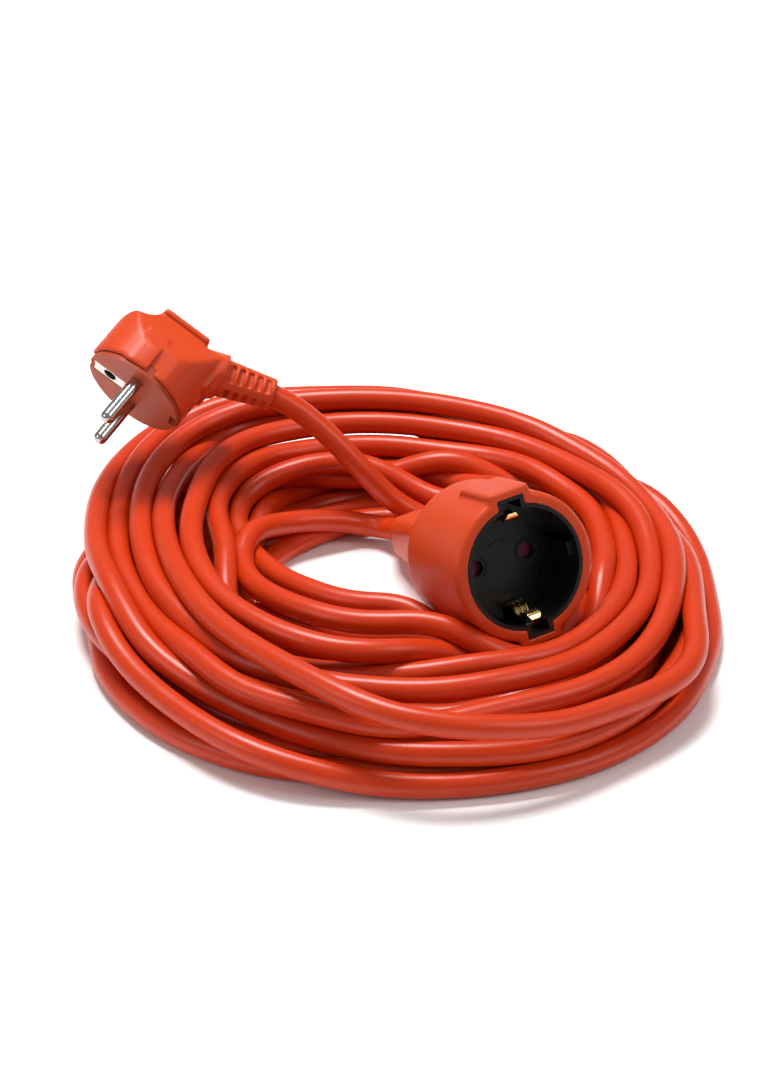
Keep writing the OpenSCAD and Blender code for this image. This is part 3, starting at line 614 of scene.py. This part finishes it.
def clip_mesh(name, s, body, node):
    c = np.array(curve_pts(CLIP, 6))
    t = np.gradient(c, axis=0)
    t /= np.linalg.norm(t, axis=1)[:, None]
    nrm = np.stack([-t[:, 1], t[:, 0]], 1)
    wide = np.interp(c[:, 1], [-36, -24, -20, -12, -8, -2, -1.5], [2.7, 2.7, 3.1, 3.0, 2.5, 2.3, 1.5])
    rib = 0.3 * np.clip(np.interp(c[:, 1], [-23, -20, -10.5, -9], [0, 1, 1, 0]), 0, 1)
    m = 25
    a = np.linspace(-1, 1, m)
    th = 0.26
    top, bot = [], []
    for k in range(len(c)):
        off = rib[k] * np.cos(a * math.pi * 3)
        for side, lst in ((th, top), (-th, bot)):
            q = c[k] + nrm[k] * 0
            yy = q[0] + nrm[k, 0] * (side + off)
            zz = q[1] + nrm[k, 1] * (side + off)
            lst.append(np.stack([a * wide[k], s * yy, zz], 1))
    top, bot = np.array(top), np.array(bot)
    n = len(c)
    pts = np.vstack([top.reshape(-1, 3), bot.reshape(-1, 3)])
    o = n * m
    fs = []
    for i in range(n - 1):
        for j in range(m - 1):
            q = [i * m + j, i * m + j + 1, (i + 1) * m + j + 1, (i + 1) * m + j]
            fs += [q, [o + r for r in q[::-1]]]
        fs += [[i * m, (i + 1) * m, o + (i + 1) * m, o + i * m], [i * m + m - 1, o + i * m + m - 1, o + (i + 1) * m + m - 1, (i + 1) * m + m - 1]]
    for j in range(m - 1):
        fs += [[j + 1, j, o + j, o + j + 1], [(n - 1) * m + j, (n - 1) * m + j + 1, o + (n - 1) * m + j + 1, o + (n - 1) * m + j]]
    fs = np.array(fs)
    if s > 0:
        fs = fs[:, ::-1]
    ob = add_mesh(name, pts, fs, SR, SP)
    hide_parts(node)
    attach(ob, body)
    return ob


clip_up = clip_mesh("socket_clip_upper", 1, "upper_clip", "earth_clip_upper")
clip_lo = clip_mesh("socket_clip_lower", -1, "lower_clip", "earth_clip_lower")


# thin raised rims on the floor of the well
def rims_field(p):
    x, y, z = p[..., 0], p[..., 1], p[..., 2]
    d = np.full(x.shape, 9.0, np.float32)
    for cx, r in ((9.5, 3.9), (-9.5, 3.9)):
        d = np.minimum(d, np.hypot(np.hypot(x - cx, y) - r, z + 17.45) - 0.32)
    rad = np.hypot(x, y)
    for r, lo_, hi_ in ((14.2, 0.15, 1.15), (14.2, -1.15, -0.15), (6.2, 1.0, 2.1)):
        a = np.arctan2(y, x)
        d = np.minimum(d, np.maximum(np.hypot(rad - r, z + 17.45) - 0.3, np.maximum(lo_ - a, a - hi_) * rad))
    return d


v, f = nets(rims_field, lambda p: p[..., 2] * 0 + 9, (-15, -15, -18), (15, 15, -16.8), 0.2, 0.05)
rims = add_mesh("socket_floor_rims", v, f, SR, SP)
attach(rims, ROOT)


# ---------------------------------------------------------------- cord
line, _ = lay()


def relax(p, n=2):
    for _ in range(n):
        q = p.copy()
        q[1:-1] = 0.25 * p[:-2] + 0.5 * p[1:-1] + 0.25 * p[2:]
        p = q
    return p


line = relax(line, 3)
fine, _ = spline(line, np.ones(len(line)), 2.6)


def tube_mesh(name, p, radius, n):
    """round tube along p, its rings carried along without twist"""
    t = np.gradient(p, axis=0)
    t /= np.linalg.norm(t, axis=1)[:, None]
    u = np.zeros_like(p)
    ref = np.array([0.0, 0.0, 1.0])
    u[0] = ref - t[0] * (ref @ t[0])
    u[0] /= np.linalg.norm(u[0])
    for i in range(1, len(p)):
        q = u[i - 1] - t[i] * (u[i - 1] @ t[i])
        u[i] = q / np.linalg.norm(q)
    w = np.cross(t, u)
    a = np.arange(n) * 2 * math.pi / n
    ring = u[:, None] * np.cos(a)[None, :, None] + w[:, None] * np.sin(a)[None, :, None]
    pts = (p[:, None] + radius * ring).reshape(-1, 3)
    m = len(p)
    i, j = np.meshgrid(np.arange(m - 1), np.arange(n), indexing="ij")
    i, j = i.ravel(), j.ravel()
    k = (j + 1) % n
    quads = np.stack([i * n + j, i * n + k, (i + 1) * n + k, (i + 1) * n + j], 1)
    # flat ends as fans
    c0, c1 = len(pts), len(pts) + 1
    pts = np.vstack([pts, p[:1], p[-1:]])
    jj = np.arange(n)
    kk = (jj + 1) % n
    ends = np.vstack([np.stack([np.full(n, c0), kk, jj], 1), np.stack([np.full(n, c1), (m - 1) * n + jj, (m - 1) * n + kk], 1)])
    me = bpy.data.meshes.new(name)
    me.vertices.add(len(pts))
    me.vertices.foreach_set("co", (pts * MM).astype(np.float32).ravel())
    loops = np.concatenate([quads.ravel(), ends.ravel()]).astype(np.int32)
    tot = np.concatenate([np.full(len(quads), 4), np.full(len(ends), 3)]).astype(np.int32)
    me.loops.add(len(loops))
    me.loops.foreach_set("vertex_index", loops)
    me.polygons.add(len(tot))
    me.polygons.foreach_set("loop_start", np.concatenate([[0], np.cumsum(tot)[:-1]]).astype(np.int32))
    me.polygons.foreach_set("loop_total", tot)
    me.update(calc_edges=True)
    me.validate()
    me.polygons.foreach_set("use_smooth", np.ones(len(me.polygons), bool))
    ob = bpy.data.objects.new(name, me)
    scene.collection.objects.link(ob)
    return ob


cord = tube_mesh("cord", fine, 4.0, 24)
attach(cord, ROOT)
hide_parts("cord_coil", "cord_plug_lead", "cord_coupler_lead")


# ---------------------------------------------------------------- materials
def material(name, color, rough, metallic=0.0, spec=0.5, coat=0.0, sheen=0.0, tone=0.08, tone_mm=9.0, grain=0.03, grain_mm=0.35,
             waves=0.0, waves_mm=14.0, rough_var=0.08, dust=0.0, dust_color=(0.8, 0.7, 0.62), sss=0.0, aniso=0.0, scratches=0.0):
    m = bpy.data.materials.new(name)
    m.use_nodes = True
    nt = m.node_tree
    nt.nodes.clear()
    N, L = nt.nodes.new, nt.links.new
    out = N("ShaderNodeOutputMaterial")
    bs = N("ShaderNodeBsdfPrincipled")
    L(bs.outputs["BSDF"], out.inputs["Surface"])
    co = N("ShaderNodeTexCoord")

    def noise(scale_mm, detail=3.0, rough_=0.55):
        n = N("ShaderNodeTexNoise")
        n.inputs["Scale"].default_value = 1000.0 / scale_mm
        n.inputs["Detail"].default_value = detail
        n.inputs["Roughness"].default_value = rough_
        L(co.outputs["Object"], n.inputs["Vector"])
        return n

    def mul(a, k, add=0.0):
        n = N("ShaderNodeMath")
        n.operation = "MULTIPLY_ADD"
        L(a, n.inputs[0])
        n.inputs[1].default_value = k
        n.inputs[2].default_value = add
        return n.outputs[0]

    def blend_(fac, a, b):
        n = N("ShaderNodeMix")
        n.data_type = "RGBA"
        L(fac, n.inputs["Factor"])
        for k, v in (("A", a), ("B", b)):
            s = [q for q in n.inputs if q.name == k and q.type == "RGBA"][0]
            if isinstance(v, tuple):
                s.default_value = (*v, 1)
            else:
                L(v, s)
        return [q for q in n.outputs if q.type == "RGBA"][0]

    t = noise(tone_mm)
    dark = tuple(max(0, c * (1 - tone)) for c in color)
    light = tuple(min(1, c * (1 + tone)) for c in color)
    col = blend_(t.outputs["Fac"], dark, light)
    if dust > 0:
        d = noise(3.2, 6.0, 0.7)
        r = N("ShaderNodeMapRange")
        L(d.outputs["Fac"], r.inputs["Value"])
        r.inputs["From Min"].default_value, r.inputs["From Max"].default_value = 0.6, 0.78
        r.inputs["To Min"].default_value, r.inputs["To Max"].default_value = 0.0, dust
        col = blend_(r.outputs["Result"], col, dust_color)
    L(col, bs.inputs["Base Color"])
    rn = noise(tone_mm * 0.4, 4.0)
    L(mul(rn.outputs["Fac"], rough_var * 2, rough - rough_var), bs.inputs["Roughness"])
    bs.inputs["Metallic"].default_value = metallic
    bs.inputs["Specular IOR Level"].default_value = spec
    bs.inputs["Coat Weight"].default_value = coat
    bs.inputs["Coat Roughness"].default_value = 0.25
    bs.inputs["Sheen Weight"].default_value = sheen
    if sss > 0:
        bs.inputs["Subsurface Weight"].default_value = sss
        bs.inputs["Subsurface Radius"].default_value = (1.0, 0.25, 0.1)
        bs.inputs["Subsurface Scale"].default_value = 0.0012
    b1 = N("ShaderNodeBump")
    b1.inputs["Strength"].default_value = 1.0
    b1.inputs["Distance"].default_value = grain * MM
    L(noise(grain_mm, 2.0).outputs["Fac"], b1.inputs["Height"])
    last = b1
    if waves > 0:
        b2 = N("ShaderNodeBump")
        b2.inputs["Strength"].default_value = 1.0
        b2.inputs["Distance"].default_value = waves * MM
        L(noise(waves_mm, 1.5).outputs["Fac"], b2.inputs["Height"])
        L(b1.outputs["Normal"], b2.inputs["Normal"])
        last = b2
    if scratches > 0:
        mp = N("ShaderNodeMapping")
        mp.inputs["Scale"].default_value = (1, 1, 14)
        L(co.outputs["Object"], mp.inputs["Vector"])
        n = N("ShaderNodeTexNoise")
        n.inputs["Scale"].default_value = 500.0
        n.inputs["Detail"].default_value = 4.0
        L(mp.outputs["Vector"], n.inputs["Vector"])
        b3 = N("ShaderNodeBump")
        b3.inputs["Strength"].default_value = 1.0
        b3.inputs["Distance"].default_value = scratches * MM
        L(n.outputs["Fac"], b3.inputs["Height"])
        L(last.outputs["Normal"], b3.inputs["Normal"])
        last = b3
    L(last.outputs["Normal"], bs.inputs["Normal"])
    return m


MAT = {
    "orange_pvc": material("orange_pvc", (0.56, 0.048, 0.005), 0.42, spec=0.34, tone=0.05, grain=0.035, grain_mm=0.5, rough_var=0.06, dust=0.05, dust_color=(0.80, 0.24, 0.10), sss=0.0),
    "orange_sheath": material("orange_sheath", (0.535, 0.034, 0.0025), 0.34, spec=0.36, tone=0.07, tone_mm=14, grain=0.012, grain_mm=0.6, waves=0.16, waves_mm=9.0, rough_var=0.06, dust=0.05, dust_color=(0.80, 0.22, 0.08), sss=0.0),
    "dull_orange": material("dull_orange", (0.38, 0.052, 0.015), 0.5, spec=0.28, tone=0.10, tone_mm=5, grain=0.05, grain_mm=0.5, dust=0.06, dust_color=(0.5, 0.2, 0.13)),
    "nickel_pins": material("nickel_pins", (0.50, 0.48, 0.45), 0.18, metallic=1.0, tone=0.05, tone_mm=4, grain=0.002, grain_mm=0.4, rough_var=0.05, scratches=0.004),
    "nickel_strap": material("nickel_strap", (0.60, 0.58, 0.54), 0.26, metallic=1.0, tone=0.08, tone_mm=3, grain=0.004, grain_mm=0.4, rough_var=0.08, scratches=0.006),
    "black_insert": material("black_insert", (0.004, 0.004, 0.0045), 0.3, spec=0.42, tone=0.25, tone_mm=6, grain=0.02, grain_mm=0.5, rough_var=0.08, dust=0.035, dust_color=(0.25, 0.24, 0.23)),
    "black_carrier": material("black_carrier", (0.02, 0.02, 0.021), 0.5, spec=0.45, tone=0.25, tone_mm=6, grain=0.03, grain_mm=0.5, rough_var=0.08),
    "maroon_shutter": material("maroon_shutter", (0.26, 0.035, 0.07), 0.42, spec=0.5, tone=0.10, tone_mm=3, grain=0.012, grain_mm=0.4),
    "steel_wire": material("steel_wire", (0.55, 0.55, 0.56), 0.28, metallic=1.0, tone=0.06, tone_mm=2, grain=0.003, grain_mm=0.3),
    "brass_contacts": material("brass_contacts", (0.78, 0.55, 0.22), 0.25, metallic=1.0, tone=0.08, tone_mm=3, grain=0.004, grain_mm=0.3),
    "brass_clips": material("brass_clips", (0.86, 0.62, 0.24), 0.2, metallic=1.0, tone=0.08, tone_mm=2.5, grain=0.004, grain_mm=0.3, rough_var=0.06, scratches=0.006),
    "brown_core": material("brown_core", (0.11, 0.035, 0.012), 0.42, tone=0.08, tone_mm=6, grain=0.01),
    "blue_core": material("blue_core", (0.015, 0.06, 0.36), 0.42, tone=0.08, tone_mm=6, grain=0.01),
    "green_yellow_core": material("green_yellow_core", (0.30, 0.42, 0.03), 0.42, tone=0.3, tone_mm=8, grain=0.01),
    "bare_copper": material("bare_copper", (0.80, 0.36, 0.2), 0.3, metallic=1.0, tone=0.1, tone_mm=2, grain=0.02, grain_mm=0.3),
}
SLOT = {s["node"]: s["material_slot"] for s in REC["subparts"]}


def dress(ob, slot_name):
    ob.data.materials.clear()
    ob.data.materials.append(MAT[slot_name])


for o in list(scene.objects):
    if "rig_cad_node" in o and o.type == "MESH" and o.name in SLOT:
        dress(o, SLOT[o.name])
dress(plug_body, "orange_pvc")
dress(plug_sleeve, "orange_pvc")
dress(shell, "orange_pvc")
shell.data.materials.append(MAT["black_insert"])
shell.data.polygons.foreach_set("material_index", INNER)
dress(strap, "nickel_strap")
dress(clip_up, "brass_clips")
dress(clip_lo, "brass_clips")
dress(rims, "black_insert")
dress(cord, "orange_sheath")

# ---------------------------------------------------------------- stage
fl = bpy.data.meshes.new("floor")
fl.from_pydata([(-4, -4, 0), (4, -4, 0), (4, 4, 0), (-4, 4, 0)], [], [(0, 1, 2, 3)])
floor = bpy.data.objects.new("floor", fl)
scene.collection.objects.link(floor)
fm = bpy.data.materials.new("floor_white")
fm.use_nodes = True
fb = fm.node_tree.nodes["Principled BSDF"]
fb.inputs["Base Color"].default_value = (0.97, 0.965, 0.96, 1)
fb.inputs["Roughness"].default_value = 0.9
fb.inputs["Specular IOR Level"].default_value = 0.1
fl.materials.append(fm)

world = bpy.data.worlds.new("world")
scene.world = world
world.use_nodes = True
world.node_tree.nodes["Background"].inputs["Color"].default_value = (1, 1, 1, 1)
world.node_tree.nodes["Background"].inputs["Strength"].default_value = 0.29


def area(name, loc, target, size, power, size_y=None):
    ld = bpy.data.lights.new(name, "AREA")
    ld.energy = power
    ld.size = size
    if size_y:
        ld.shape = "RECTANGLE"
        ld.size_y = size_y
    ob = bpy.data.objects.new(name, ld)
    scene.collection.objects.link(ob)
    ob.location = loc
    ob.rotation_euler = (Vector(target) - Vector(loc)).to_track_quat("-Z", "Y").to_euler()
    return ob


key = area("key", (-0.15, 0.35, 1.2), (0, 0, 0), 0.5, 19.0, 0.35)
fill = area("fill", (1.0, -0.5, 1.1), (0, 0, 0), 0.6, 5.0)
rim = area("rim", (-1.2, -0.6, 0.8), (0, 0, 0), 0.6, 3.5)
scene.view_settings.view_transform = "Standard"
scene.view_settings.look = "None"
scene.view_settings.exposure = 0.0

# ---------------------------------------------------------------- last update of the view layer
log_size()
